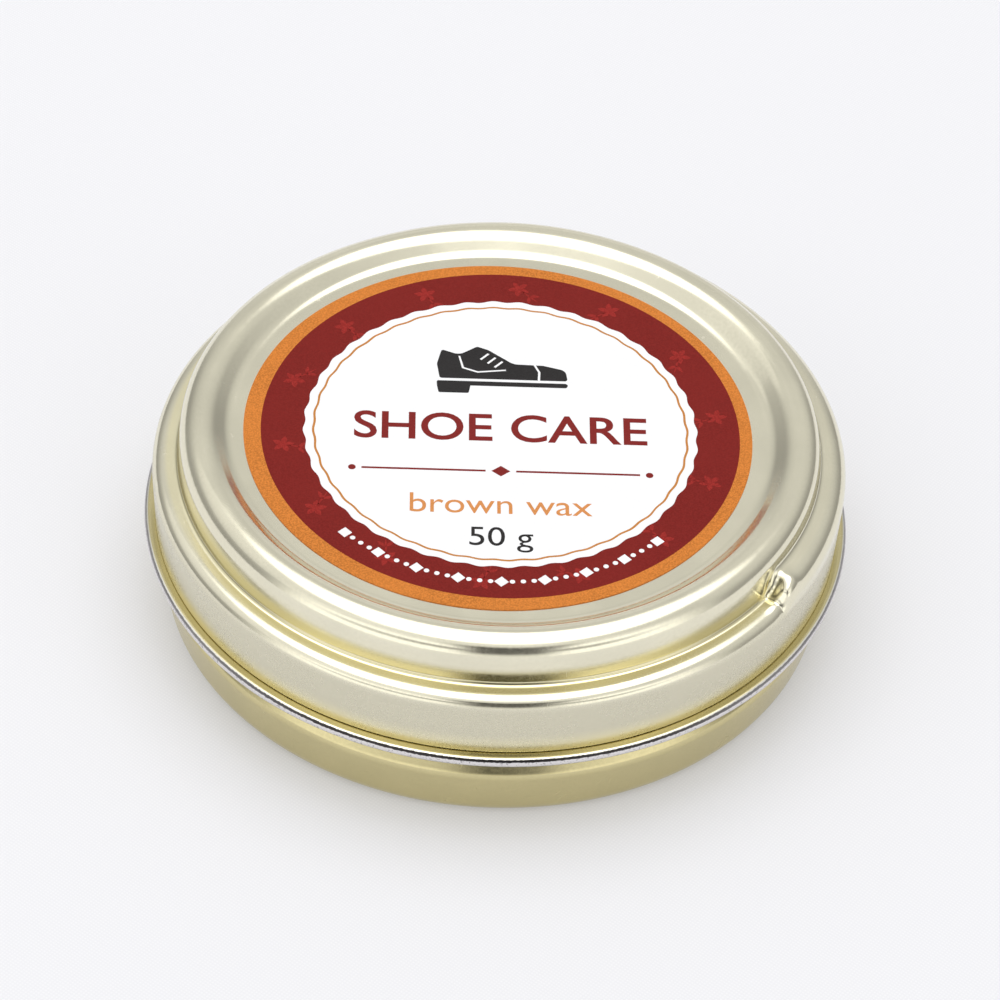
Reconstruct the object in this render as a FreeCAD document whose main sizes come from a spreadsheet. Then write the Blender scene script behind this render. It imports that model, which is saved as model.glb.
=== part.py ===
"""Shoe polish tin: a drawn tinplate pan full of wax polish, closed by a slip lid with a twist-to-open cam.

Origin: centre of the tin on the surface it stands on, +Z up.  Millimetres and degrees throughout.
Azimuths go round the tin from the front (-Y), growing towards the right (+X) and on to the back (+Y).
"""
import FreeCAD, Part
import math
import os
import Sketcher

Vector = FreeCAD.Vector
DOC = FreeCAD.newDocument("ShoePolishTin")

# ---------------------------------------------------------------- driving dimensions
DIMENSIONS = [
    ("plate", 0.25),                  # thickness of the tinplate
    ("foot_radius", 35.1),            # where the base wall would meet the table
    ("foot_round", 2.0),
    ("foot_width", 2.4),              # flat width of the ring that the tin stands on, before rounding
    ("underside_recess", 0.6),
    ("underside_slope", 0.8),         # radial run of the step up into the recess
    ("wall_top_radius", 36.0),        # base wall just under the ledge
    ("ledge_bottom", 9.3),
    ("ledge_thickness", 1.1),         # the wall folded out and back on itself
    ("ledge_radius", 37.6),
    ("ledge_round", 0.5),
    ("ledge_dip", 0.35),              # how far the ledge falls towards the neck
    ("neck_radius", 35.9),
    ("neck_top", 17.6),
    ("curl_size", 1.2),               # rolled lip, across
    ("curl_round", 0.55),
    ("polish_top", 15.6),
    ("polish_gap", 0.04),             # film between the wax and the plate
    ("skirt_radius", 36.45),          # lid skirt at its lower edge
    ("skirt_bottom", 10.6),
    ("skirt_flare", 0.047),           # outward lean of the skirt, per millimetre of height
    ("shoulder_height", 18.0),
    ("shoulder_round", 1.0),
    ("bead_radius", 33.8),            # upright wall above the shoulder
    ("bead_foot_round", 0.7),
    ("bead_waist", 21.0),             # height where the ring and the crown of the lid meet
    ("hip_height", 21.785),           # the wall bends in here, tighter than the bead's top
    ("hip_round", 0.93),
    ("hip_radius", 32.75),            # where the bend's chord would reach the crest
    ("bead_height", 22.95),           # level crest, the top of the tin
    ("bead_round", 2.65),
    ("bead_crest_radius", 31.07),     # where the crest turns down to the panel
    ("bead_crest_round", 1.15),
    ("panel_radius", 29.15),
    ("panel_round", 0.5),
    ("panel_height", 21.45),
    ("hip_drop", 0.4),                # shifts of the inner face's corners, in plate thicknesses,
    ("hip_lean", 0.45),               # that keep the plate the same thickness round the bead
    ("panel_lean", 0.34),
    ("cam_height", 20.1),             # shoulder along the raised cam
    ("cam_start", 54.0),              # azimuth of the steep step
    ("cam_sweep", 128.0),
    ("step_sweep", 0.4),              # the step's wall is one plate thick
    ("ramp_sweep", 22.0),             # the gentle end
    ("lug_azimuth", 70.0),            # pip on the base lip that the cam rides over
    ("lug_sweep", 12.0),
    ("lug_height", 1.6),
    ("label_radius", 26.9),
    ("label_thickness", 0.12),
    ("label_offset_x", -0.25),
    ("label_offset_y", -0.05),
]
RAMP_SECTIONS = 4


def make_sheet():
    """The spreadsheet that every size is read from: a name, its value and the value's alias."""
    sheet = DOC.addObject("Spreadsheet::Sheet", "Sizes")
    for row, (alias, value) in enumerate(DIMENSIONS, start=1):
        sheet.set("A%d" % row, alias)
        sheet.set("B%d" % row, repr(value))
        sheet.setAlias("B%d" % row, alias)
    DOC.recompute()
    return sheet


SHEET = make_sheet()
ALIASES = {alias: "Sizes." + alias for alias, _ in DIMENSIONS}


def bound(text):
    """A size in words, such as "neck_radius - plate", as an expression that reads the spreadsheet."""
    words = text.replace("(", " ( ").replace(")", " ) ").split()
    return " ".join(ALIASES.get(word, word) for word in words)


def size(text):
    """The present value of a size in words."""
    words = text.replace("(", " ( ").replace(")", " ) ").split()
    tokens = [str(SHEET.get(word)) if word in ALIASES else word for word in words]
    holder = FreeCAD.Units.Quantity(" ".join(tokens))
    return float(holder.Value)


def new_body(name):
    body = DOC.addObject("PartDesign::Body", name)
    body.Label = name
    return body


def origin_plane(body, role):
    return [item for item in body.Origin.OriginFeatures if item.Role == role][0]


def new_sketch(body, name, role, azimuth=None):
    """A sketch on one of the body's origin planes; an azimuth turns an upright one about the tin's axis."""
    sketch = body.newObject("Sketcher::SketchObject", name)
    sketch.AttachmentSupport = [(origin_plane(body, role), "")]
    sketch.MapMode = "FlatFace"
    if azimuth:
        sketch.setExpression(".AttachmentOffset.Rotation.Axis.x", "0")
        sketch.setExpression(".AttachmentOffset.Rotation.Axis.y", "1")
        sketch.setExpression(".AttachmentOffset.Rotation.Axis.z", "0")
        sketch.setExpression(".AttachmentOffset.Rotation.Angle", bound(azimuth) + " - 90")
    return sketch


def pin_point(sketch, index, corner):
    """Hold a construction point at the corner's radius and height."""
    for kind, axis, text in (("DistanceX", -2, corner[0]), ("DistanceY", -1, corner[1])):
        if text == "0":
            sketch.addConstraint(Sketcher.Constraint("PointOnObject", index, 1, axis))
            continue
        number = sketch.addConstraint(Sketcher.Constraint(kind, -1, 1, index, 1, size(text)))
        sketch.setExpression("Constraints[%d]" % number, bound(text))


def short_arc(middle, radius, one, other):
    """The shorter arc between two points of a circle."""
    angles = [math.atan2(point.y - middle.y, point.x - middle.x) for point in (one, other)]
    if (angles[1] - angles[0]) % math.tau > math.pi:
        angles.reverse()
    if angles[1] < angles[0]:
        angles[1] += math.tau
    return Part.ArcOfCircle(Part.Circle(middle, Vector(0, 0, 1), radius), *angles)


def outline(sketch, corners):
    """A closed outline through corners (radius, height, rounding or None), each size given in words."""
    places = [Vector(size(corner[0]), size(corner[1]), 0) for corner in corners]
    count = len(corners)
    starts, ends, arcs = [], [], {}
    for index, corner in enumerate(corners):
        here = places[index]
        to_last = (places[index - 1] - here).normalize()
        to_next = (places[(index + 1) % count] - here).normalize()
        if not corner[2]:
            starts.append(here)
            ends.append(here)
            continue
        half_angle = to_last.getAngle(to_next) / 2
        rounding = size(corner[2])
        reach = rounding / math.tan(half_angle)
        middle = here + (to_last + to_next).normalize() * (rounding / math.sin(half_angle))
        ends.append(here + to_last * reach)
        starts.append(here + to_next * reach)
        arcs[index] = short_arc(middle, rounding, ends[index], starts[index])
    lines = [
        sketch.addGeometry(Part.LineSegment(starts[index], ends[(index + 1) % count]), False)
        for index in range(count)
    ]
    for index, corner in enumerate(corners):
        point = sketch.addGeometry(Part.Point(places[index]), True)
        pin_point(sketch, point, corner)
        before, after = lines[index - 1], lines[index]
        if index not in arcs:
            sketch.addConstraint(Sketcher.Constraint("Coincident", before, 2, point, 1))
            sketch.addConstraint(Sketcher.Constraint("Coincident", after, 1, point, 1))
            continue
        arc = sketch.addGeometry(arcs[index], False)
        curve = sketch.Geometry[arc]
        first = 1 if curve.StartPoint.isEqual(ends[index], 1e-6) else 2
        sketch.addConstraint(Sketcher.Constraint("PointOnObject", point, 1, before))
        sketch.addConstraint(Sketcher.Constraint("PointOnObject", point, 1, after))
        sketch.addConstraint(Sketcher.Constraint("Tangent", before, 2, arc, first))
        sketch.addConstraint(Sketcher.Constraint("Tangent", arc, 3 - first, after, 1))
        number = sketch.addConstraint(Sketcher.Constraint("Radius", arc, size(corner[2])))
        sketch.setExpression("Constraints[%d]" % number, bound(corner[2]))
    DOC.recompute()


def spin(body, name, corners, azimuth=None, sweep=None):
    """Turn an outline about the tin's axis, all the way or through a sweep from an azimuth."""
    sketch = new_sketch(body, name + "_outline", "XZ_Plane", azimuth)
    outline(sketch, corners)
    feature = body.newObject("PartDesign::Revolution", name)
    feature.Profile = sketch
    feature.ReferenceAxis = (sketch, ["V_Axis"])
    if sweep:
        feature.setExpression("Angle", bound(sweep))
    else:
        feature.Angle = 360
    DOC.recompute()
    return feature


# ---------------------------------------------------------------- the base
def make_base():
    """Pan with a foot ring, a wall folded out into a ledge, and a neck ending in a rolled lip."""
    body = new_body("tin_base")
    recess_edge = "foot_radius - foot_width - underside_slope"
    inner_neck = "neck_radius - plate"
    corners = [
        ("0", "underside_recess", None),
        (recess_edge, "underside_recess", "plate * 2"),
        ("foot_radius - foot_width - plate", "0", "plate"),
        ("foot_radius", "0", "foot_round"),
        ("wall_top_radius", "ledge_bottom", "plate"),
        ("ledge_radius", "ledge_bottom", "ledge_round"),
        ("ledge_radius", "ledge_bottom + ledge_thickness", "ledge_round"),
        ("neck_radius", "ledge_bottom + ledge_thickness - ledge_dip", "plate"),
        ("neck_radius", "neck_top", "curl_round"),
        ("neck_radius - curl_size", "neck_top", "curl_round"),
        ("neck_radius - curl_size", "neck_top - curl_size", "curl_round"),
        (inner_neck, "neck_top - curl_size", None),
        (inner_neck, "ledge_bottom + ledge_thickness / 2", None),
        ("foot_radius - plate", "plate", "foot_round - plate"),
        ("foot_radius - foot_width", "plate", "plate * 2"),
        ("foot_radius - foot_width - underside_slope + plate / 2", "underside_recess + plate", "plate"),
        ("0", "underside_recess + plate", None),
    ]
    spin(body, "pan", corners)
    lug = [
        ("neck_radius - curl_size", "neck_top - curl_size / 2", None),
        ("neck_radius - curl_size", "neck_top + lug_height", "curl_round"),
        ("neck_radius", "neck_top + lug_height", "curl_round"),
        ("neck_radius", "neck_top - curl_size / 2", None),
    ]
    body.Tip = spin(body, "lug", lug, azimuth="lug_azimuth", sweep="lug_sweep")
    return body


# ---------------------------------------------------------------- the polish
def make_polish():
    """Wax poured into the pan: it fills the foot, the wall and part of the neck, and sets flat on top."""
    body = new_body("polish_cake")
    floor = "underside_recess + plate + polish_gap"
    corners = [
        ("0", floor, None),
        ("foot_radius - foot_width - underside_slope", floor, None),
        ("foot_radius - foot_width + plate / 2", "plate + polish_gap", None),
        ("foot_radius - plate - polish_gap", "plate + polish_gap", "foot_round - plate"),
        ("neck_radius - plate - polish_gap", "ledge_bottom + ledge_thickness / 2", None),
        ("neck_radius - plate - polish_gap", "polish_top", "plate"),
        ("0", "polish_top", None),
    ]
    spin(body, "cake", corners)
    return body


# ---------------------------------------------------------------- the lid
def flared(height):
    """Radius of the skirt's outer face at a height, both in words."""
    return "skirt_radius + skirt_flare * ( %s - skirt_bottom )" % height


def skirt_corners(shoulder):
    """Section of the skirt, the shoulder at the given height and the foot of the upright wall."""
    underside = shoulder + " - plate"
    return [
        ("skirt_radius", "skirt_bottom", None),
        (flared(shoulder), shoulder, "shoulder_round"),
        ("bead_radius", shoulder, "bead_foot_round"),
        ("bead_radius", "bead_waist", None),
        ("bead_radius - plate", "bead_waist", None),
        ("bead_radius - plate", underside, "bead_foot_round + plate"),
        (flared(shoulder) + " - plate", underside, "shoulder_round - plate"),
        ("skirt_radius - plate", "skirt_bottom", None),
    ]


def make_lid():
    """Drawn lid: skirt, shoulder with a raised cam, upright bead and a panel sunk inside the bead."""
    body = new_body("tin_lid")
    inner_crest = "bead_crest_radius + plate * panel_lean"
    inner_panel = "panel_radius + plate * panel_lean"
    crown = [
        ("bead_radius", "bead_waist", None),
        ("bead_radius", "hip_height", "hip_round"),
        ("hip_radius", "bead_height", "bead_round"),
        ("bead_crest_radius", "bead_height", "bead_crest_round"),
        ("panel_radius", "panel_height", "panel_round"),
        ("0", "panel_height", None),
        ("0", "panel_height - plate", None),
        (inner_panel, "panel_height - plate", "panel_round + plate"),
        (inner_crest, "bead_height - plate", "bead_crest_round - plate"),
        ("hip_radius - plate * hip_lean", "bead_height - plate", "bead_round - plate"),
        ("bead_radius - plate", "hip_height - plate * hip_drop", "hip_round - plate"),
        ("bead_radius - plate", "bead_waist", None),
    ]
    spin(body, "crown", crown)
    spin(body, "plain_shoulder", skirt_corners("shoulder_height"),
         azimuth="cam_start + cam_sweep + ramp_sweep", sweep="360 - cam_sweep - ramp_sweep")
    spin(body, "cam", skirt_corners("cam_height"), azimuth="cam_start", sweep="cam_sweep")
    step_foot = "shoulder_height - shoulder_round - plate"
    step = [
        ("bead_radius - plate", "shoulder_height - plate", None),
        (flared("shoulder_height") + " - plate", "shoulder_height - plate", "shoulder_round - plate"),
        (flared(step_foot) + " - plate", step_foot, None),
        (flared(step_foot), step_foot, None),
        (flared("cam_height"), "cam_height", "shoulder_round"),
        ("bead_radius - plate", "cam_height", None),
    ]
    spin(body, "step", step, azimuth="cam_start", sweep="step_sweep")
    body.Tip = make_ramp(body)
    return body


def make_ramp(body):
    """The cam's gentle end: sections of falling shoulder height, joined by a loft."""
    sections = []
    for index in range(RAMP_SECTIONS + 1):
        share = " * %d / %d" % (index, RAMP_SECTIONS)
        sketch = new_sketch(body, "ramp_section_%d" % index, "XZ_Plane",
                            "cam_start + cam_sweep + ramp_sweep" + share)
        outline(sketch, skirt_corners("cam_height - ( cam_height - shoulder_height )" + share))
        sections.append(sketch)
    ramp = body.newObject("PartDesign::AdditiveLoft", "ramp")
    ramp.Profile = sections[0]
    ramp.Sections = sections[1:]
    DOC.recompute()
    return ramp


# ---------------------------------------------------------------- the label
def make_label():
    """Round paper sticker on the lid's panel."""
    body = new_body("top_label")
    sketch = new_sketch(body, "label_outline", "XY_Plane")
    for axis, text in (("x", "label_offset_x"), ("y", "label_offset_y"), ("z", "panel_height")):
        sketch.setExpression(".AttachmentOffset.Base." + axis, bound(text))
    circle = sketch.addGeometry(Part.Circle(Vector(), Vector(0, 0, 1), size("label_radius")), False)
    sketch.addConstraint(Sketcher.Constraint("Coincident", circle, 3, -1, 1))
    number = sketch.addConstraint(Sketcher.Constraint("Radius", circle, size("label_radius")))
    sketch.setExpression("Constraints[%d]" % number, bound("label_radius"))
    pad = body.newObject("PartDesign::Pad", "sticker")
    pad.Profile = sketch
    pad.setExpression("Length", bound("label_thickness"))
    DOC.recompute()
    return body


def check_document():
    """Stop if any object of the document failed to build."""
    for item in DOC.Objects:
        if "Invalid" in item.State or "Error" in item.State:
            raise RuntimeError("%s: %s" % (item.Name, item.State))


def write_pieces(bodies):
    """Check each piece and write it to its own file."""
    os.makedirs("parts", exist_ok=True)
    for body in bodies:
        shape = body.Shape
        if shape.isNull() or not shape.isValid() or not shape.Solids:
            raise RuntimeError(body.Label + " has no valid solid")
        box = shape.BoundBox
        print("%-12s solids %d volume %.1f  x %.2f..%.2f y %.2f..%.2f z %.2f..%.2f" % (
            body.Label, len(shape.Solids), shape.Volume,
            box.XMin, box.XMax, box.YMin, box.YMax, box.ZMin, box.ZMax))
        shape.exportStep(os.path.join("parts", body.Label + ".step"))


def main():
    bodies = [make_base(), make_polish(), make_lid(), make_label()]
    DOC.recompute()
    check_document()
    write_pieces(bodies)


main()
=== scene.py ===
"""Looks for a shoe polish tin: lacquered tinplate lid and pan, a printed paper sticker and the wax inside.

Azimuths go round the tin from the front (-Y) towards the right (+X).  Lengths are millimetres until a mesh
is made.  The main sizes are read from the frame, and the rest are measured from them.
"""
import math

import bmesh
import bpy
from mathutils import Matrix, Vector, noise


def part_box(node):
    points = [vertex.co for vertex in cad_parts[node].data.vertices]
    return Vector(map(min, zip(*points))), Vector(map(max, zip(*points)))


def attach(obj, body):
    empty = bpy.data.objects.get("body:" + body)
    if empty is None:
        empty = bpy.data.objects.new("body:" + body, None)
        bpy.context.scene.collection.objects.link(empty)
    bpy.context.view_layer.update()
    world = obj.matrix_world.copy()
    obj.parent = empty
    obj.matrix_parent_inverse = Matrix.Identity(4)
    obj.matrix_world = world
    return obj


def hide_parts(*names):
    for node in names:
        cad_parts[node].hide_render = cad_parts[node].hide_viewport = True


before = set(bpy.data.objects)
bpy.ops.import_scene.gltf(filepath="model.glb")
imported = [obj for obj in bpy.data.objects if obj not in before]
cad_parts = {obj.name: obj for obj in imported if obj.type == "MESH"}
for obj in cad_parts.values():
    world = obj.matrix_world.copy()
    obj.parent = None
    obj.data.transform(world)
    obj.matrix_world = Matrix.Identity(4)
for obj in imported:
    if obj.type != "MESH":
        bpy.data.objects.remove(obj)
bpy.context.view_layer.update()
MM = 0.001


# ---------------------------------------------------------------- sizes
def box_mm(node):
    """Lowest and highest corner of a CAD node in millimetres."""
    low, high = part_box(node)
    return low / MM, high / MM


BASE_LOW, BASE_HIGH = box_mm("tin_base")
LID_LOW, LID_HIGH = box_mm("tin_lid")
LABEL_LOW, LABEL_HIGH = box_mm("top_label")

PLATE = 0.25
RIM_RADIUS = min(-BASE_LOW.x, BASE_HIGH.x, -BASE_LOW.y, BASE_HIGH.y)
TOP = LID_HIGH.z
SKIRT_BOTTOM = LID_LOW.z
PANEL = LABEL_LOW.z
WAX_TOP = box_mm("polish_cake")[1].z

SKIRT_RADIUS = RIM_RADIUS - 1.15
SKIRT_FLARE = 0.047                # outward lean of the skirt, per millimetre of height
SHOULDER = SKIRT_BOTTOM + 7.4
CAM_RISE = 2.1
CAM_START = 55.7                   # azimuths of the cam's step: its foot,
CAM_STEEP = 57.4                   # its nose,
CAM_FULL = 60.0                    # and where it levels off
CAM_LAG = 0.8                      # the upper part of the rise starts this much later
CAM_END, CAM_FOOT = 182.0, 204.0   # azimuths of the gentle ramp down
BEAD_RADIUS = RIM_RADIUS - 3.8
BEAD_ROUND = 2.3                   # outer side of the bead
CREST_RADIUS = BEAD_RADIUS - 3.08
CREST_ROUND = 2.3
PANEL_RADIUS = BEAD_RADIUS - 5.0
PANEL_ROUND = 1.7                  # foot of the bead's inner side

LEDGE_BOTTOM = SKIRT_BOTTOM - 1.3
LEDGE_THICKNESS = 1.26             # its top almost touches the skirt
LEDGE_TOP = LEDGE_BOTTOM + LEDGE_THICKNESS
LEDGE_ROUND = 0.58
WAIST_RADIUS = RIM_RADIUS - 2.55   # the wall is drawn in just under the ledge
WAIST_HEIGHT = LEDGE_BOTTOM - 1.6
WAIST_ROUND = 0.6
BELLY_RADIUS = RIM_RADIUS - 1.6
BELLY_HEIGHT = LEDGE_BOTTOM - 3.05
BELLY_ROUND = 1.2
NECK_RADIUS = RIM_RADIUS - 1.7
NECK_TOP = SKIRT_BOTTOM + 7.0
CURL = 1.2                         # the neck's lip, rolled inwards
CURL_ROUND = 0.55
LUG_RISE = 1.55                    # the formed pip that the cam rides on
LUG_START, LUG_END, LUG_SLOPE = 64.0, 76.0, 3.0
FOOT_RADIUS = RIM_RADIUS - 2.5
RECESS = 0.6                       # the middle of the underside stands this high
WAX_GAP = 0.04                     # between the wax and the plate
WAX_SINK = 0.36                    # the wax's middle lies this far below the CAD cake's top

LABEL_RADIUS = (LABEL_HIGH.x - LABEL_LOW.x) / 2
LABEL_CENTRE = Vector(((LABEL_LOW.x + LABEL_HIGH.x) / 2, (LABEL_LOW.y + LABEL_HIGH.y) / 2))
PRINT_CENTRE = LABEL_CENTRE + Vector((0.25, 0.13))   # the print is cut a little off its centre
PRINT_TURN = math.radians(2.5)
INK = 0.006                        # thickness of one layer of print
PAPER_TOP = LABEL_HIGH.z - 5 * INK
RED_RADIUS = 25.32                 # the print, from its edge inwards
SPRIG_RADIUS = 23.1
DOT_RADIUS = 22.9
CENTRE_RADIUS = 20.75
LINE_OUTER, LINE_INNER = 19.86, 19.62
SCALLOPS = 44
SHOE_HEIGHT = 9.6                  # the picture's middle, above the print's


# ---------------------------------------------------------------- meshes
SUPPORT = 0.12                     # distance of the extra points that keep flat stretches flat


def smooth(share):
    """Eased step from 0 to 1."""
    share = min(max(share, 0.0), 1.0)
    return share * share * (3 - 2 * share)


def rounded(corners, steps=7, closed=False):
    """Points through corners (x, y, rounding), with arcs at the rounded ones and a few points between."""
    count = len(corners)
    ends = []
    for index, (x, y, rounding) in enumerate(corners):
        here = Vector((x, y))
        if not rounding or (not closed and index in (0, count - 1)):
            ends.append([here])
            continue
        to_last = (Vector(corners[index - 1][:2]) - here).normalized()
        to_next = (Vector(corners[(index + 1) % count][:2]) - here).normalized()
        half = to_last.angle(to_next) / 2
        middle = here + (to_last + to_next).normalized() * (rounding / math.sin(half))
        first = here + to_last * (rounding / math.tan(half)) - middle
        last = here + to_next * (rounding / math.tan(half)) - middle
        turn = math.atan2(first.x * last.y - first.y * last.x, first.dot(last))
        spin = [Matrix.Rotation(turn * step / steps, 2) for step in range(steps + 1)]
        ends.append([middle + matrix @ first for matrix in spin])
    points = []
    for index, arc in enumerate(ends):
        points += arc
        if index < count - 1 or closed:
            start, stop = arc[-1], ends[(index + 1) % count][0]
            length = (stop - start).length
            if length > 1e-6:
                edge = min(SUPPORT / length, 0.2)
                points += [start.lerp(stop, share) for share in (edge, 0.35, 0.65, 1 - edge)]
    return points


def thickened(points, thickness):
    """The open profile, and back along its other side one thickness away."""
    back = []
    for index, point in enumerate(points):
        along = points[min(index + 1, len(points) - 1)] - points[max(index - 1, 0)]
        side = Vector((along.y, -along.x)).normalized()
        if point.x < 1e-6:
            side = Vector((0, -1 if along.x > 0 else 1))
        back.append(point + side * thickness)
    return points + back[::-1]


def make_object(name, vertices, faces, material, seam_angle=None):
    """A smooth-shaded mesh from millimetre points; edges sharper than seam_angle degrees stay crisp."""
    mesh = bpy.data.meshes.new(name)
    mesh.from_pydata([Vector(vertex) * MM for vertex in vertices], [], faces)
    work = bmesh.new()
    work.from_mesh(mesh)
    bmesh.ops.recalc_face_normals(work, faces=work.faces)
    work.to_mesh(mesh)
    work.free()
    mesh.shade_smooth()
    if seam_angle:
        mesh.set_sharp_from_angle(angle=math.radians(seam_angle))
    mesh.materials.append(material)
    made = bpy.data.objects.new(name, mesh)
    bpy.context.scene.collection.objects.link(made)
    return made


def place(azimuth, radius, height):
    """The point at an azimuth, a distance from the axis and a height."""
    angle = math.radians(azimuth)
    return (radius * math.sin(angle), -radius * math.cos(angle), height)


def revolve(name, section, azimuths, material):
    """A closed skin about the tin's axis; section(azimuth) starts and ends on the axis."""
    columns = [section(azimuth) for azimuth in azimuths]
    rows = len(columns[0]) - 2
    vertices = [(0, 0, columns[0][0][1]), (0, 0, columns[0][-1][1])]
    for azimuth, column in zip(azimuths, columns):
        vertices += [place(azimuth, radius, height) for radius, height in column[1:-1]]
    faces = []
    for index in range(len(azimuths)):
        here = 2 + index * rows
        there = 2 + (index + 1) % len(azimuths) * rows
        faces.append((0, here, there))
        faces += [(here + row, here + row + 1, there + row + 1, there + row) for row in range(rows - 1)]
        faces.append((1, there + rows - 1, here + rows - 1))
    return make_object(name, vertices, faces, material)


def even_azimuths(count):
    return [360 * index / count for index in range(count)]


# ---------------------------------------------------------------- materials
def node(tree, kind, inputs=None, **settings):
    """A node with its settings; an input is a value or another node's socket."""
    made = tree.nodes.new(kind)
    for name, value in settings.items():
        setattr(made, name, value)
    for name, value in (inputs or {}).items():
        if isinstance(value, bpy.types.NodeSocket):
            tree.links.new(value, made.inputs[name])
        else:
            made.inputs[name].default_value = value
    return made


def maths(tree, operation, *values):
    """The result of one arithmetic operation."""
    return node(tree, "ShaderNodeMath", dict(enumerate(values)), operation=operation).outputs[0]


def times(tree, first, second):
    return maths(tree, "MULTIPLY", first, second)


def plus(tree, first, second):
    return maths(tree, "ADD", first, second)


def distance(tree, value, middle):
    """How far a value is from a middle one."""
    return maths(tree, "ABSOLUTE", maths(tree, "SUBTRACT", value, middle))


def ramp(tree, value, low, high, start=0.0, stop=1.0):
    """The value moved from low..high to start..stop along an eased curve."""
    made = node(tree, "ShaderNodeMapRange", {0: value, 1: low, 2: high, 3: start, 4: stop},
                interpolation_type="SMOOTHSTEP")
    return made.outputs[0]


def mix(tree, share, first, second):
    """Two colours mixed by share."""
    made = node(tree, "ShaderNodeMix", {0: share, 6: first, 7: second}, data_type="RGBA")
    return made.outputs[2]


def colour(red, green, blue):
    return (red, green, blue, 1.0)


def scaled(parts, factor):
    """A colour made lighter or darker by a factor."""
    return colour(*[part * factor for part in parts])


def xyz(tree, where):
    return node(tree, "ShaderNodeSeparateXYZ", {0: where}).outputs


def new_material(name, **surface):
    """A material with its tree, its shader and object coordinates in metres."""
    material = bpy.data.materials.new(name)
    material.use_nodes = True
    tree = material.node_tree
    shader = tree.nodes["Principled BSDF"]
    for key, value in surface.items():
        shader.inputs[key.replace("_", " ")].default_value = value
    where = node(tree, "ShaderNodeTexCoord").outputs["Object"]
    return material, tree, shader, where


def grain(tree, where, size_mm, detail=2.0, distortion=0.0):
    """Cloudy noise whose features are about size_mm across."""
    inputs = {"Vector": where, "Scale": 1 / (size_mm * MM), "Detail": detail, "Distortion": distortion}
    return node(tree, "ShaderNodeTexNoise", inputs).outputs["Fac"]


def bump(tree, shader, height, depth_mm, strength=1.0):
    """Fine relief, too small to model."""
    made = node(tree, "ShaderNodeBump", {"Height": height, "Distance": depth_mm * MM, "Strength": strength})
    tree.links.new(made.outputs[0], shader.inputs["Normal"])


def hairlines(tree, where, size_mm, width):
    """Faint wandering scratches: the thin level lines of a distorted noise."""
    level = grain(tree, where, size_mm, detail=1.0, distortion=1.2)
    return ramp(tree, distance(tree, level, 0.5), 0.0, width, 1.0, 0.0)


def tinplate(name, lacquer, roughness, bare_edge=False, satin_below=0.0):
    """Lacquered tinplate: gold-toned metal, mottled in tone and gloss, with a few scratches.

    Below the height satin_below it is satin, with its colour darkened there as painted shade, and it gets a
    painted gold reflection along the hem and beside the bead and painted shade at the bead's foot; bare_edge
    adds the ledge's bare steel tip, with a painted highlight, a painted dark reflection and painted shade
    under the tip.
    """
    material, tree, shader, where = new_material(name, Metallic=1.0)
    mottle = grain(tree, where, 0.35, detail=3.0)
    clouds = grain(tree, where, 7.0)
    patches = ramp(tree, grain(tree, where, 2.6), 0.52, 0.62)
    scratch = times(tree, hairlines(tree, where, 5.0, 0.0035), patches)
    tone = mix(tree, ramp(tree, clouds, 0.3, 0.7), scaled(lacquer, 0.955), colour(*lacquer))
    tone = mix(tree, ramp(tree, mottle, 0.2, 0.8, 0.0, 0.35), tone, scaled(lacquer, 0.88))
    gloss = plus(tree, roughness, ramp(tree, mottle, 0.3, 0.7, -0.03, 0.03))
    gloss = plus(tree, gloss, ramp(tree, clouds, 0.3, 0.7, -0.025, 0.025))
    gloss = plus(tree, gloss, times(tree, scratch, 0.12))
    if satin_below:
        height = xyz(tree, where)[2]
        satin_and_painted_shade = ramp(tree, height, (satin_below - 0.8) * MM, satin_below * MM, 1.0, 0.0)
        # painted shade: below that height the colour is darkened; the lower gloss is the real satin finish
        tone = mix(tree, times(tree, satin_and_painted_shade, 0.6), tone, scaled(lacquer, 0.70))
        gloss = plus(tree, gloss, times(tree, satin_and_painted_shade, 0.13))
        # painted gold reflection along the hem and beside the bead, and painted shade browning the bead's
        # foot
        painted_gold_reflection, foot = painted_gold_reflection_and_shade(tree, where)
        tone = mix(tree, painted_gold_reflection, tone, colour(0.93, 0.86, 0.57))
        tone = mix(tree, foot, tone, colour(0.66, 0.60, 0.36))
    rough_height = mottle
    if bare_edge:
        painted_highlight, bare, dark = bare_steel_and_painted_light(tree, where)
        # painted highlight: paler metal on the top of the ledge's tip
        tone = mix(tree, painted_highlight, tone, colour(0.95, 0.93, 0.83))
        # near-black steel for the dark specks, the painted dark reflection and the painted shade under the
        # tip
        steel = mix(tree, dark, colour(0.76, 0.735, 0.735), colour(0.05, 0.045, 0.045))
        tone = mix(tree, bare, tone, steel)
        gloss = plus(tree, gloss, times(tree, bare, 0.12))
        rough_height = plus(tree, mottle, times(tree, bare, dark))
    tree.links.new(tone, shader.inputs["Base Color"])
    tree.links.new(gloss, shader.inputs["Roughness"])
    bump(tree, shader, rough_height, 0.0025)
    return material


def from_axis(tree, parts):
    """Distance from the tin's axis of a point split into its parts."""
    square = plus(tree, times(tree, parts[0], parts[0]), times(tree, parts[1], parts[1]))
    return maths(tree, "SQRT", square)


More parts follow.
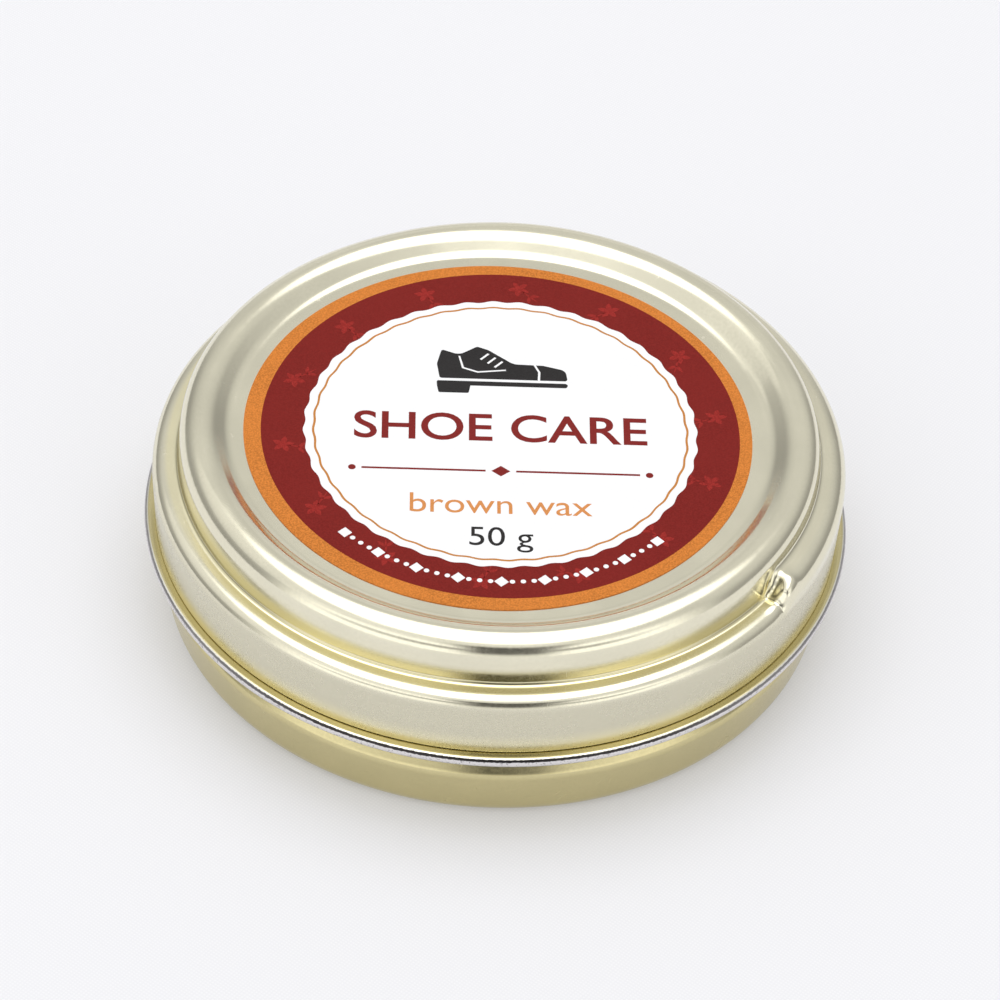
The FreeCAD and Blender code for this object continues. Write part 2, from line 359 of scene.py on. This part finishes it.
def painted_gold_reflection_and_shade(tree, where):
    """Where a painted gold reflection lies, and where a painted shade browns the foot of the bead.

    The painted reflection runs along the skirt's hem and on the shoulder beside the bead.
    """
    parts = xyz(tree, where)
    # painted reflection: gold along the skirt's hem, where the skirt mirrors the ledge
    hem = ramp(tree, parts[2], (SKIRT_BOTTOM + 0.2) * MM, (SKIRT_BOTTOM + 2.8) * MM, 0.75, 0.0)
    flat = from_axis(tree, parts)
    # painted reflection: gold on the shoulder beside the bead, where the lacquered surfaces mirror each other
    inner = ramp(tree, flat, (BEAD_RADIUS + 0.1) * MM, (BEAD_RADIUS + 0.45) * MM, 0.0, 0.75)
    low = ramp(tree, parts[2], (SHOULDER + 0.6) * MM, (SHOULDER + 1.3) * MM, 1.0, 0.15)
    outer = ramp(tree, flat, (BEAD_RADIUS + 1.2) * MM, (BEAD_RADIUS + 1.9) * MM, 1.0, 0.0)
    beside = times(tree, times(tree, inner, low), outer)
    # painted shade: browned in the corner at the bead's foot
    away = distance(tree, flat, (BEAD_RADIUS + 0.18) * MM)
    foot = ramp(tree, away, 0.16 * MM, 0.38 * MM, 0.75, 0.0)
    foot = times(tree, foot, ramp(tree, parts[2], (SHOULDER + 1.0) * MM, (SHOULDER + 2.2) * MM, 1.0, 0.0))
    return maths(tree, "MAXIMUM", hem, beside), foot


def bare_steel_and_painted_light(tree, where):
    """On the ledge's folded tip: a painted highlight where the metal is made pale, where the lacquer is off,
    and how dark it is from dark specks, a painted dark reflection and painted shade.

    Angles go round the tip's section, from its top outwards and down.
    """
    parts = xyz(tree, where)
    flat = from_axis(tree, parts)
    out = maths(tree, "SUBTRACT", flat, (RIM_RADIUS - LEDGE_ROUND) * MM)
    up = maths(tree, "SUBTRACT", parts[2], (LEDGE_BOTTOM + LEDGE_THICKNESS / 2) * MM)
    angle = maths(tree, "ARCTAN2", out, up)
    jagged = plus(tree, angle, ramp(tree, grain(tree, where, 0.3, detail=3.0), 0.3, 0.7, -0.06, 0.06))
    top = ramp(tree, jagged, math.radians(34), math.radians(37))
    foot = ramp(tree, jagged, math.radians(128), math.radians(140), 1.0, 0.0)
    outside = ramp(tree, out, 0.0, 0.1 * MM)
    bare = times(tree, times(tree, top, foot), outside)
    # painted reflection: a dark line along the top of the bare band, the dark surroundings mirrored in the
    # tip
    painted_dark_line = ramp(tree, jagged, math.radians(62), math.radians(68), 1.0, 0.0)
    cracks = ramp(tree, grain(tree, where, 0.22), 0.58, 0.68, 0.0, 0.5)
    # painted shade under the tip, towards its foot
    low = ramp(tree, jagged, math.radians(116), math.radians(130), 0.0, 0.8)
    painted_front_darkening = ramp(tree, parts[1], -34 * MM, -22 * MM, 1.0, 0.55)     # the painted reflection is darker in front, where the dark surroundings are mirrored
    painted_dark_line = times(tree, painted_dark_line, painted_front_darkening)
    # dark specks of cracked lacquer, with the painted dark reflection and the painted shade
    dark = maths(tree, "MAXIMUM", maths(tree, "MAXIMUM", painted_dark_line, cracks), low)
    # painted highlight: the metal made pale where the tip's top catches the light
    painted_highlight = times(tree, ramp(tree, angle, math.radians(14), math.radians(28)), outside)
    return painted_highlight, bare, dark


def print_ink(name, ink, specks):
    """Ink on semi-matt paper: fine printed grain, slight fading and the paper's tooth."""
    material, tree, shader, where = new_material(name)
    shader.inputs["Specular IOR Level"].default_value = 0.12
    dots = grain(tree, where, 0.16, detail=1.0)
    fibre = grain(tree, where, 0.5, detail=3.0)
    fade = grain(tree, where, 9.0)
    light = colour(*[min(part * (1 + specks) + specks * 0.02, 1.0) for part in ink])
    tone = mix(tree, ramp(tree, dots, 0.3, 0.7), scaled(ink, 1 - specks), light)
    tone = mix(tree, ramp(tree, fade, 0.3, 0.7, 0.0, 0.4), tone, light)
    tree.links.new(tone, shader.inputs["Base Color"])
    tree.links.new(ramp(tree, fibre, 0.2, 0.8, 0.45, 0.58), shader.inputs["Roughness"])
    bump(tree, shader, fibre, 0.004)
    return material


def wax(name):
    """Brown polish: dark, glossy, slightly cloudy, with the skin of a cooled pour."""
    material, tree, shader, where = new_material(name)
    shader.inputs["Coat Weight"].default_value = 0.2
    shader.inputs["Coat Roughness"].default_value = 0.18
    clouds = grain(tree, where, 6.0, detail=4.0, distortion=0.6)
    skin = grain(tree, where, 0.8, detail=3.0)
    tone = mix(tree, ramp(tree, clouds, 0.35, 0.7), colour(0.070, 0.022, 0.008), colour(0.120, 0.040, 0.014))
    tree.links.new(tone, shader.inputs["Base Color"])
    tree.links.new(ramp(tree, clouds, 0.3, 0.7, 0.26, 0.42), shader.inputs["Roughness"])
    bump(tree, shader, skin, 0.012)
    return material


def cloth_floor(name):
    """Pale backdrop cloth with a fine weave; it glows a little so that shadows stay light."""
    material, tree, shader, where = new_material(name, Roughness=0.9, Emission_Strength=0.26)
    turned = node(tree, "ShaderNodeMapping", {"Vector": where, "Rotation": (0.0, 0.0, 0.6)}).outputs[0]
    threads = []
    for direction in ("X", "Y"):
        wave = node(tree, "ShaderNodeTexWave", {"Vector": turned, "Scale": 900.0, "Distortion": 0.8},
                    bands_direction=direction)
        threads.append(wave.outputs["Fac"])
    weave = times(tree, *threads)
    tone = mix(tree, weave, colour(0.55, 0.55, 0.57), colour(0.60, 0.60, 0.615))
    tree.links.new(tone, shader.inputs["Base Color"])
    shader.inputs["Emission Color"].default_value = colour(0.98, 0.98, 1.0)
    bump(tree, shader, weave, 0.01, 0.5)
    return material


# ---------------------------------------------------------------- the lid
def shoulder_height(azimuth):
    """Height of the lid's shoulder, raised along the cam."""
    steep = smooth((azimuth - CAM_START) / (CAM_STEEP - CAM_START))
    rise = 0.6 * steep + 0.4 * smooth((azimuth - CAM_START - CAM_LAG) / (CAM_FULL - CAM_START - CAM_LAG))
    fall = smooth((azimuth - CAM_END) / (CAM_FOOT - CAM_END))
    return SHOULDER + CAM_RISE * (rise - fall)


def near(azimuth, middle, spread):
    """Bell-shaped share of an azimuth about a middle one."""
    away = (azimuth - middle + 180) % 360 - 180
    return math.exp(-(away / spread) ** 2)


# each: azimuth, radius, height, reach, outward push and upward push
DENTS = (
    (58.4, 35.8, SHOULDER + 1.8, 1.2, 0.1, 0.30),        # nose of the step, pushed up by the press
    (57.5, 36.3, SHOULDER + 1.0, 0.8, 0.06, 0.28),       # cheek of the nose
    (57.0, 34.6, SHOULDER + 1.3, 0.8, 0.0, -0.6),        # crease at the nose's inner foot
    (55.3, 35.8, SHOULDER, 0.9, 0.0, 0.16),              # lip in front of the step
    (281.0, 36.7, SHOULDER - 1.1, 0.35, -0.1, 0.0),      # small ding in the skirt
)


def dented(azimuth, point):
    """A point of the section, moved by the dents near it."""
    radius, height = point
    for middle, at_radius, at_height, reach, outward, upward in DENTS:
        along = math.radians((azimuth - middle + 180) % 360 - 180) * at_radius
        away = math.sqrt(along ** 2 + (point.x - at_radius) ** 2 + (point.y - at_height) ** 2) / reach
        if away < 3:
            share = math.exp(-away ** 2)
            radius += outward * share
            height += upward * share
    return Vector((radius, height))


def lid_section(azimuth):
    """Outside of the lid from the panel's middle to the hem, and back along its inside."""
    shoulder = shoulder_height(azimuth)
    raised = (shoulder - SHOULDER) / CAM_RISE
    blunt = near(azimuth, 57, 24)              # the cam starts blunt and sharpens along its length
    tight = smooth((azimuth - 35) / 35) - smooth((azimuth - 170) / 40)      # less rounding above the cam
    angle = math.radians(azimuth)
    wave = noise.noise(Vector((math.sin(angle), math.cos(angle), 0)) * 2.2)     # a slightly uneven shoulder
    flared = SKIRT_RADIUS + SKIRT_FLARE * (shoulder - SKIRT_BOTTOM)
    face = [
        (0, PANEL, 0),
        (PANEL_RADIUS * 0.6, PANEL, 0),
        (PANEL_RADIUS, PANEL, PANEL_ROUND),
        (CREST_RADIUS, TOP, CREST_ROUND),
        (BEAD_RADIUS, TOP, BEAD_ROUND - 0.6 * tight),
        (BEAD_RADIUS + 0.22 - 0.14 * raised, shoulder - 0.1 + 0.14 * raised, 0.5 + 0.35 * raised * blunt),
        (flared + 0.02 * wave, shoulder - 0.12 - 0.15 * raised + 0.03 * wave, 1.4 + 0.45 * raised),
        (SKIRT_RADIUS, SKIRT_BOTTOM + 0.02, 0),
    ]
    return [dented(azimuth, point) for point in thickened(rounded(face), PLATE)]


def make_lid(material):
    """The lid, with finer steps round the cam's step."""
    azimuths = even_azimuths(360)
    azimuths += [whole + part for whole in range(50, 63) for part in (0.2, 0.4, 0.6, 0.8)]
    return revolve("lid_shell", lid_section, sorted(azimuths), material)


# ---------------------------------------------------------------- the base and the wax
def base_section(azimuth):
    """Outside of the pan from the middle of its underside to the lip, and back along its inside."""
    lug = smooth((azimuth - LUG_START) / LUG_SLOPE) * smooth((LUG_END - azimuth) / LUG_SLOPE)
    neck_top = NECK_TOP + LUG_RISE * lug
    flat_edge = FOOT_RADIUS - 2.4
    step_edge = flat_edge - 0.8
    return rounded([
        (0, RECESS, 0),
        (step_edge, RECESS, 0.5),
        (flat_edge - PLATE, 0, PLATE),
        (FOOT_RADIUS, 0, 2.0),
        (BELLY_RADIUS, BELLY_HEIGHT, BELLY_ROUND),
        (WAIST_RADIUS, WAIST_HEIGHT, WAIST_ROUND),
        (WAIST_RADIUS, LEDGE_BOTTOM, 0.25),
        (RIM_RADIUS, LEDGE_BOTTOM, LEDGE_ROUND),
        (RIM_RADIUS, LEDGE_TOP, LEDGE_ROUND),
        (NECK_RADIUS, LEDGE_TOP - 0.06, 0.2),
        (NECK_RADIUS, neck_top, CURL_ROUND),
        (NECK_RADIUS - CURL, neck_top, CURL_ROUND),
        (NECK_RADIUS - CURL, neck_top - CURL, 0.5),
        (NECK_RADIUS - PLATE, neck_top - CURL - 0.25, 0.1),
        (NECK_RADIUS - PLATE, LEDGE_TOP, 0.2),
        (WAIST_RADIUS - PLATE, LEDGE_BOTTOM, 0.2),
        (WAIST_RADIUS - PLATE, WAIST_HEIGHT, WAIST_ROUND),
        (BELLY_RADIUS - PLATE, BELLY_HEIGHT, BELLY_ROUND),
        (FOOT_RADIUS - PLATE, PLATE, 1.75),
        (flat_edge, PLATE, 0.4),
        (step_edge + PLATE / 2, RECESS + PLATE, 0.25),
        (0, RECESS + PLATE, 0),
    ])


def make_base(material):
    return revolve("base_shell", base_section, even_azimuths(360), material)


def wax_section(azimuth):
    """The cake: its top climbs the wall a little and has faint pour rings."""
    wall = NECK_RADIUS - PLATE - WAX_GAP
    floor = RECESS + PLATE + WAX_GAP
    angle = math.radians(azimuth)
    top = []
    for share in (1.0, 0.992, 0.98, 0.96, 0.93, 0.88, 0.8, 0.7, 0.6, 0.5, 0.4, 0.3, 0.2, 0.1, 0.04):
        radius = wall * share
        climb = 0.32 * math.exp(-(wall - radius) / 0.8)
        swirl = noise.noise(Vector((radius * math.sin(angle), radius * math.cos(angle), 0)) * 0.09)
        ring = 0.05 * math.sin(radius * 0.9 + 2 * swirl) * (1 - share)
        top.append(Vector((radius, WAX_TOP - WAX_SINK + climb + 0.06 * swirl * (1 - share) + ring)))
    body = rounded([
        (0, floor, 0),
        (FOOT_RADIUS - 3.2, floor, 0),
        (FOOT_RADIUS - 2.3, PLATE + WAX_GAP, 0),
        (FOOT_RADIUS - PLATE - WAX_GAP, PLATE + WAX_GAP, 1.7),
        (BELLY_RADIUS - PLATE - 0.1, BELLY_HEIGHT - 0.1, 0),
        (WAIST_RADIUS - PLATE - 0.05, WAIST_HEIGHT, 0),
        (WAIST_RADIUS - PLATE - 0.05, LEDGE_BOTTOM, 0),
        (wall, LEDGE_TOP + 0.1, 0),
        (wall, WAX_TOP - 0.6, 0),
    ], steps=4)
    return body + top + [Vector((0, WAX_TOP - WAX_SINK))]


def make_wax(material):
    return revolve("polish_surface", wax_section, even_azimuths(240), material)


# ---------------------------------------------------------------- the sticker
def on_print(x, y):
    """A point of the print, turned and shifted as it was cut."""
    return Matrix.Rotation(PRINT_TURN, 2) @ Vector((x, y)) + PRINT_CENTRE


def slab(name, outlines, low, high, material):
    """Flat closed outlines given a thickness; each is a list of (x, y)."""
    vertices, faces = [], []
    for outline in outlines:
        count, start = len(outline), len(vertices)
        vertices += [(x, y, low) for x, y in outline] + [(x, y, high) for x, y in outline]
        lower = list(range(start, start + count))
        upper = list(range(start + count, start + 2 * count))
        faces += [lower[::-1], upper]
        faces += [(lower[i - 1], lower[i], upper[i], upper[i - 1]) for i in range(count)]
    return make_object(name, vertices, faces, material, seam_angle=30)


def ring_slab(name, inner, outer, low, high, material):
    """A flat closed band between two outlines with the same number of points."""
    count = len(inner)
    vertices = [(x, y, z) for z in (low, high) for line in (inner, outer) for x, y in line]
    low_in, low_out, high_in, high_out = 0, count, 2 * count, 3 * count
    faces = []
    for i in range(count):
        j = (i + 1) % count
        faces.append((low_in + j, low_in + i, low_out + i, low_out + j))
        faces.append((high_in + i, high_in + j, high_out + j, high_out + i))
        faces.append((low_in + i, low_in + j, high_in + j, high_in + i))
        faces.append((low_out + j, low_out + i, high_out + i, high_out + j))
    return make_object(name, vertices, faces, material, seam_angle=30)


def scalloped(radius, depth, points=720):
    """A circle of the print with a wavy, slightly uneven edge."""
    outline = []
    for index in range(points):
        angle = math.tau * index / points
        uneven = noise.noise(Vector((math.cos(angle), math.sin(angle), radius)) * 6)
        reach = radius + depth * math.sin(SCALLOPS * angle) + 0.35 * depth * uneven
        outline.append(on_print(reach * math.cos(angle), reach * math.sin(angle)))
    return outline


def circle(radius, centre, points=256):
    turns = [math.tau * index / points for index in range(points)]
    return [centre + Vector((math.cos(turn), math.sin(turn))) * radius for turn in turns]


def petal(x, y, heading, length, width, points=10):
    """A leaf-shaped outline starting at a point."""
    side = [(length * i / points, width / 2 * math.sin(math.pi * i / points)) for i in range(points + 1)]
    shape = side + [(u, -v) for u, v in side[-2:0:-1]]
    turned = [Matrix.Rotation(heading, 2) @ Vector(corner) for corner in shape]
    return [on_print(x + corner.x, y + corner.y) for corner in turned]


def florets(count):
    """Small plain sprigs spread round the red ring: five petals, a stem and two leaves each."""
    outlines = []
    for index in range(count):
        angle = math.tau * (index + 0.3) / count
        lean = angle + math.radians(40 * math.sin(index * 2.4))
        x, y = SPRIG_RADIUS * math.cos(angle), SPRIG_RADIUS * math.sin(angle)
        for turn in range(5):
            outlines.append(petal(x, y, lean + math.tau * turn / 5, 1.25, 0.62))
        stem = lean + math.pi + 0.3
        outlines.append(petal(x + 0.3 * math.cos(stem), y + 0.3 * math.sin(stem), stem, 2.7, 0.2))
        for turn in (-0.8, 0.8):
            outlines.append(petal(x + 1.6 * math.cos(stem), y + 1.6 * math.sin(stem), stem + turn, 1.2, 0.42))
    return outlines


def lettering(name, text, width, baseline, low, high, material, weight=0.0):
    """Plain generic words, centred on the print at a baseline and as wide as given."""
    curve = bpy.data.curves.new(name, "FONT")
    curve.body = text
    curve.align_x = "CENTER"
    curve.resolution_u = 6
    curve.extrude = 0.5
    curve.offset = weight
    writer = bpy.data.objects.new(name + "_curve", curve)
    bpy.context.scene.collection.objects.link(writer)
    bpy.context.view_layer.update()
    mesh = bpy.data.meshes.new_from_object(writer.evaluated_get(bpy.context.evaluated_depsgraph_get()))
    mesh.name = name
    bpy.data.objects.remove(writer)
    xs = [vertex.co.x for vertex in mesh.vertices]
    scale = width / (max(xs) - min(xs))
    middle = (max(xs) + min(xs)) / 2
    for vertex in mesh.vertices:
        spot = on_print((vertex.co.x - middle) * scale, vertex.co.y * scale + baseline)
        height = high if vertex.co.z > 0 else low
        vertex.co = Vector((spot.x, spot.y, height)) * MM
    mesh.materials.clear()
    mesh.materials.append(material)
    made = bpy.data.objects.new(name, mesh)
    bpy.context.scene.collection.objects.link(made)
    return made


def shoe_outlines():
    """A plain lace-up shoe in profile: upper, sole and heel."""
    upper = [(-6.5, -1.5, 0.3), (-6.8, 0.8, 1.2), (-6.3, 3.1, 0.25), (-4.4, 2.3, 1.2), (-2.5, 3.7, 0.3),
             (-1.3, 3.2, 0.4), (1.4, 1.0, 1.6), (4.6, 0.9, 1.6), (7.0, 0.2, 0.9), (7.2, -1.5, 0.3)]
    sole = [(-6.8, -1.9, 0.2), (7.3, -1.9, 0.3), (7.1, -2.6, 0.3), (-6.8, -2.6, 0.1)]
    heel = [(-6.8, -2.6, 0.0), (-3.2, -2.6, 0.0), (-3.4, -3.8, 0.2), (-6.6, -3.8, 0.2)]
    shapes = []
    for corners in (upper, sole, heel):
        points = rounded(corners, steps=5, closed=True)
        shapes.append([on_print(point.x, SHOE_HEIGHT + point.y) for point in points])
    return shapes


def lace_outlines():
    """The shoe's lace bars, its toe cap line and its facing line."""
    bars = []
    for u, v in ((-1.45, 2.45), (-0.7, 1.85), (0.05, 1.25)):
        bars.append([(u - 0.75, v - 0.75), (u + 0.1, v + 0.2), (u + 0.28, v + 0.04), (u - 0.57, v - 0.91)])
    cap = [(3.55, 0.98), (3.8, 0.96), (4.3, -0.2), (4.25, -1.5), (4.0, -1.5), (4.05, -0.2)]
    facing = [(-4.3, 2.1), (-3.9, 0.3), (-2.4, -0.3), (0.6, 0.1),
              (0.6, -0.1), (-2.45, -0.52), (-4.1, 0.15), (-4.5, 2.1)]
    return [[on_print(u, SHOE_HEIGHT + v) for u, v in corners] for corners in bars + [cap, facing]]


def make_label():
    """The sticker's paper and its layers of print, from the bottom up; words have a width and a baseline."""
    orange = print_ink("orange_print", (0.565, 0.183, 0.028), specks=0.2)
    red = print_ink("red_print", (0.185, 0.009, 0.006), specks=0.12)
    faint = print_ink("faint_red_print", (0.275, 0.015, 0.011), specks=0.2)
    white = print_ink("white_paper", (0.86, 0.86, 0.87), specks=0.02)
    black = print_ink("charcoal_print", (0.022, 0.020, 0.020), specks=0.1)
    word_red = print_ink("dark_red_print", (0.20, 0.014, 0.012), specks=0.1)
    ochre = print_ink("line_print", (0.50, 0.205, 0.045), specks=0.1)
    word_orange = print_ink("ochre_print", (0.62, 0.25, 0.075), specks=0.1)
    layers = [PAPER_TOP + INK * index for index in range(6)]
    paper = slab("label_paper", [circle(LABEL_RADIUS, LABEL_CENTRE)], PANEL, layers[0], orange)
    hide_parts("top_label")
    pieces = [
        paper,
        slab("label_red_ring", [circle(RED_RADIUS, PRINT_CENTRE)], layers[0], layers[1], red),
        slab("label_florets", florets(14), layers[1], layers[2], faint),
        slab("label_centre", [scalloped(CENTRE_RADIUS, 0.12)], layers[1], layers[3], white),
        ring_slab("label_thin_line", scalloped(LINE_INNER, 0.07), scalloped(LINE_OUTER, 0.07),
                  layers[3], layers[4], ochre),
        slab("label_shoe_picture", shoe_outlines(), layers[3], layers[4], black),
        slab("label_shoe_laces", lace_outlines(), layers[4], layers[5], white),
        lettering("label_title", "SHOE CARE", 31.0, -1.6, layers[3], layers[4], word_red, weight=0.012),
        slab("label_rule", rule_outlines(-6.3), layers[3], layers[4], word_red),
        lettering("label_shade", "brown wax", 19.0, -12.8, layers[3], layers[4], word_orange),
        lettering("label_weight", "50 g", 6.6, -17.6, layers[3], layers[4], black),
        slab("label_dots", dot_outlines(), layers[1], layers[3], white),
    ]
    for piece in pieces:
        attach(piece, "lid")


def rule_outlines(y):
    """Two thin lines with a diamond between them and a dot at each end."""
    bars = [[on_print(side * u, y + v) for u, v in ((1.6, -0.14), (14.6, -0.14), (14.6, 0.14), (1.6, 0.14))]
            for side in (-1, 1)]
    diamond = [on_print(u, y + v) for u, v in ((-1.0, 0), (0, -0.8), (1.0, 0), (0, 0.8))]
    ends = [circle(0.4, on_print(side * 15.6, y), 24) for side in (-1, 1)]
    return bars + [diamond] + ends


def dot_outlines():
    """A row of small diamonds and dots along the front of the red ring."""
    outlines = []
    for index in range(-16, 17):
        angle = math.radians(-90 + index * 2.8)
        spot = on_print(DOT_RADIUS * math.cos(angle), DOT_RADIUS * math.sin(angle))
        if index % 4:
            outlines.append(circle(0.28, spot, 20))
        else:
            outlines.append(circle(0.75, spot, 4))
    return outlines


# ---------------------------------------------------------------- floor, light and camera
def make_floor():
    bpy.ops.mesh.primitive_plane_add(size=3.0)
    floor = bpy.context.object
    floor.name = "floor"
    floor.data.materials.append(cloth_floor("pale_cloth"))


def make_world():
    """A white studio: bright overhead and far behind, dimmer low down.

    In front stand a dark shape as wide as a person and a dim band at table height, for the metal to reflect.
    """
    world = bpy.data.worlds.new("studio")
    world.use_nodes = True
    tree = world.node_tree
    direction = node(tree, "ShaderNodeTexCoord").outputs["Generated"]
    parts = xyz(tree, direction)
    up = parts[2]
    forward = times(tree, parts[1], -1.0)
    low = ramp(tree, up, 0.10, 0.74, 0.38, 0.73)
    overhead = plus(tree, up, times(tree, parts[1], 0.12))      # brightest a little behind straight up
    high = ramp(tree, overhead, 0.83, 0.93, 0.0, 1.65)
    behind = ramp(tree, parts[1], 0.80, 0.97, 0.0, 0.35)
    fill = times(tree, ramp(tree, forward, 0.15, 0.6), ramp(tree, up, 0.50, 0.75, 1.0, 0.25))
    level = plus(tree, plus(tree, low, high), plus(tree, behind, fill))
    aside = distance(tree, parts[0], 0.11)
    body = times(tree, ramp(tree, aside, 0.12, 0.36, 0.92, 0.0), ramp(tree, forward, 0.1, 0.3))
    upright = times(tree, body, ramp(tree, up, 0.70, 0.82, 1.0, 0.0))
    figure = times(tree, upright, ramp(tree, up, 0.05, 0.35, 0.35, 1.0))
    band = distance(tree, up, 0.42)
    table = times(tree, ramp(tree, band, 0.04, 0.15, 0.68, 0.0), ramp(tree, forward, 0.35, 0.8))
    shade = maths(tree, "MAXIMUM", figure, table)
    level = times(tree, level, maths(tree, "SUBTRACT", 1.0, shade))
    background = tree.nodes["Background"]
    background.inputs["Color"].default_value = colour(1.0, 1.0, 1.0)
    tree.links.new(level, background.inputs["Strength"])
    bpy.context.scene.world = world


def make_light(name, where, target, size, power):
    """A round soft light aimed at a target; metres and watts."""
    lamp = bpy.data.lights.new(name, "AREA")
    lamp.shape = "DISK"
    lamp.size = size
    lamp.energy = power
    made = bpy.data.objects.new(name, lamp)
    made.location = where
    made.rotation_euler = (Vector(target) - Vector(where)).to_track_quat("-Z", "Y").to_euler()
    bpy.context.scene.collection.objects.link(made)


def make_camera():
    """A long lens above and in front of the tin, rolled a little."""
    elevation, roll = math.radians(44.03), math.radians(3.42)
    stand_off = 0.525
    eye = Vector((0, -stand_off * math.cos(elevation), stand_off * math.sin(elevation)))
    target = Vector((0.37, 0.0, 11.6)) * MM
    ahead = (target - eye).normalized()
    right = ahead.cross(Vector((0, 0, 1))).normalized()
    up = right.cross(ahead)
    across = right * math.cos(roll) + up * math.sin(roll)
    upward = up * math.cos(roll) - right * math.sin(roll)
    lens = bpy.data.cameras.new("camera")
    lens.sensor_width = 36.0
    lens.lens = 173.9
    lens.clip_start = 0.01
    camera = bpy.data.objects.new("camera", lens)
    camera.matrix_world = Matrix.Translation(eye) @ Matrix((across, upward, -ahead)).transposed().to_4x4()
    bpy.context.scene.collection.objects.link(camera)
    bpy.context.scene.camera = camera


def main():
    """Every piece with the CAD node it replaces and its body, then the stage."""
    lid_metal = tinplate("lid_tinplate", (0.84, 0.80, 0.63), 0.16, satin_below=SHOULDER - 0.6)
    base_metal = tinplate("base_tinplate", (0.64, 0.565, 0.31), 0.21, bare_edge=True)
    lid = make_lid(lid_metal)
    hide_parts("tin_lid")
    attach(lid, "lid")
    base = make_base(base_metal)
    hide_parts("tin_base")
    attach(base, "base")
    cake = make_wax(wax("brown_wax"))
    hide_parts("polish_cake")
    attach(cake, "base")
    make_label()
    make_floor()
    make_world()
    make_light("key", (-0.55, 0.10, 0.75), (0, 0, 0.01), 1.1, 0.6)
    make_camera()
    bpy.context.scene.view_settings.view_transform = "Standard"


main()
